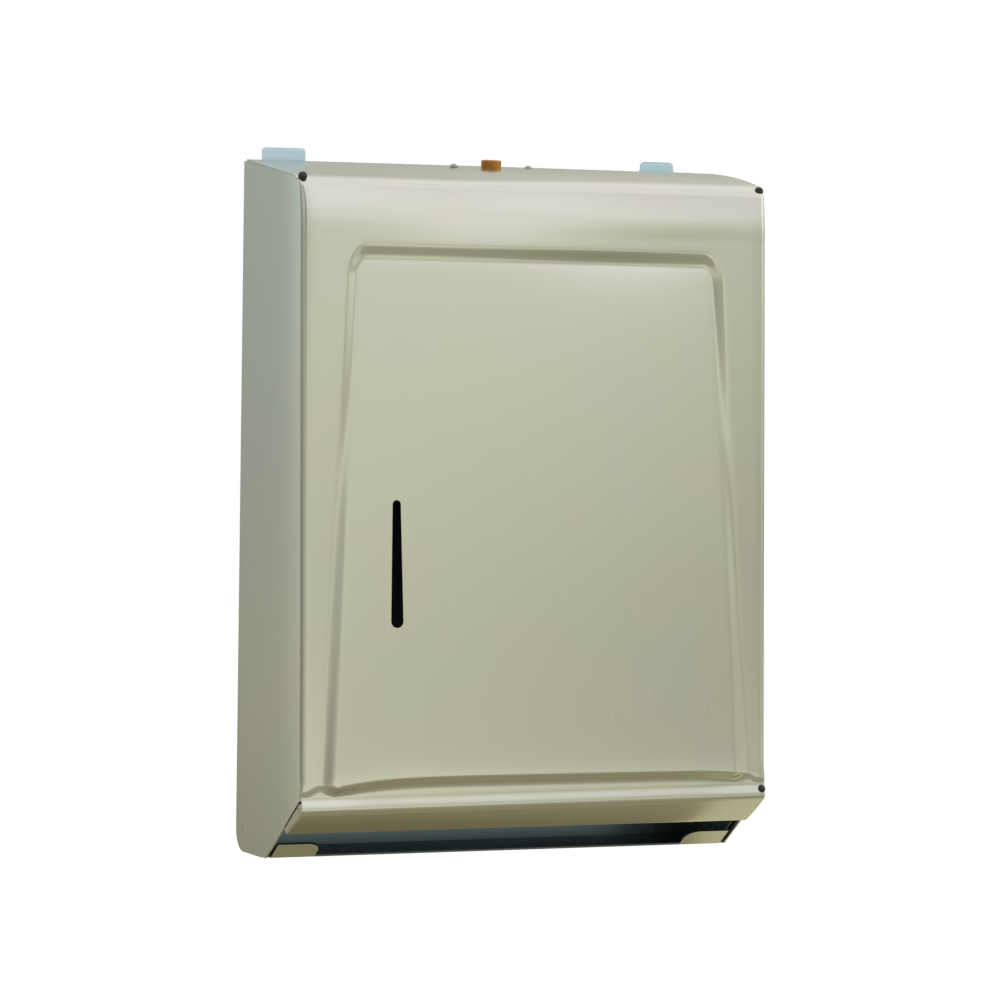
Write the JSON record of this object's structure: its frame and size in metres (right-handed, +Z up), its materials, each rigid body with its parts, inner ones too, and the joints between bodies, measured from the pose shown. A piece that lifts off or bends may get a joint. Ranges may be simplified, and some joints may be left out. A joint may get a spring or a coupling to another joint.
{
  "type": "paper towel dispenser",
  "caption": "Wall-mounted stainless steel cabinet for folded paper towels, with a drop-down cover, a stamped front, a level slot, a chamfered throat and a key lock on top.",
  "frame": {"origin": "middle of the four wall screw holes, on the wall plane", "axes": "+X to the viewer's right, +Y into the wall, +Z up; the cabinet's front faces -Y"},
  "size_m": [0.2794, 0.1052, 0.3938],
  "materials": {
    "cover_stainless": "satin, brushed down the front, warm tinted",
    "case_stainless": "mill, dull",
    "plated_steel": "zinc plated",
    "rivet_steel": "plain",
    "nylon": "natural",
    "clip_plastic": "pale blue, slightly see-through",
    "lock_brass": "machined"
  },
  "bodies": {
    "case": {"back_plate": "case_stainless", "towel_tray": "case_stainless", "tray_rivets": "rivet_steel", "right_towel_guide": "case_stainless", "left_towel_guide": "case_stainless", "right_hinge_pin": "rivet_steel", "left_hinge_pin": "rivet_steel", "right_hinge_washer": "nylon", "left_hinge_washer": "nylon", "right_top_clip": "clip_plastic", "left_top_clip": "clip_plastic", "lock_keeper": "plated_steel", "keeper_rivets": "rivet_steel", "clip_rivets": "rivet_steel"},
    "cover": {"cover_shell": "cover_stainless", "lock_plate": "plated_steel", "left_lock_rivet": "rivet_steel", "right_lock_rivet": "rivet_steel", "lock_body": "lock_brass", "lock_washer": "plated_steel", "lock_nut": "plated_steel"},
    "lock_plug": {"lock_plug": "lock_brass", "lock_cam": "plated_steel", "cam_screw": "plated_steel"}
  },
  "joints": [
    {"name": "cover_hinge", "type": "hinge", "parent": "case", "child": "cover", "pos_m": [0, -0.0125, -0.1849], "axis": [1, 0, 0], "range_deg": [0, 90]},
    {"name": "lock_turn", "type": "hinge", "parent": "cover", "child": "lock_plug", "pos_m": [0, -0.022, 0.18647], "axis": [0, 0.0785, -0.9969], "range_deg": [0, 90]}
  ]
}
